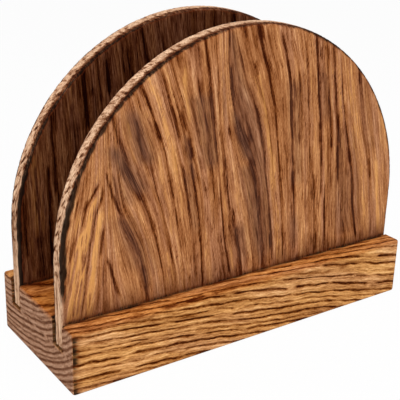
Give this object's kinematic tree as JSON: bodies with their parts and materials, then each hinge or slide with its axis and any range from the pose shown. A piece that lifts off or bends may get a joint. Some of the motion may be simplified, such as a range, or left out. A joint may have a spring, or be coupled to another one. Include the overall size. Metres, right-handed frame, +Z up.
{
  "type": "napkin holder",
  "caption": "Table napkin holder: arched upright wooden plates stand in the grooves of a solid wooden base, with a clear space between them for a stack of paper napkins.",
  "frame": {"origin": "on the table, under the middle of the base's flat underside", "axes": "+X along the base and the plates, -Y is the front of the front plate, +Z up"},
  "size_m": [0.16, 0.06, 0.1249],
  "materials": {
    "base_wood": "scorched, brushed and oiled open-grain hardwood",
    "plate_wood": "scorched, brushed and oiled open-grain hardwood with charred edges",
    "dried_glue": "dried wood glue"
  },
  "bodies": {
    "root": {"base_block": "base_wood", "front_plate": "plate_wood", "back_plate": "plate_wood", "front_glue_line": "dried_glue", "back_glue_line": "dried_glue"}
  },
  "joints": []
}
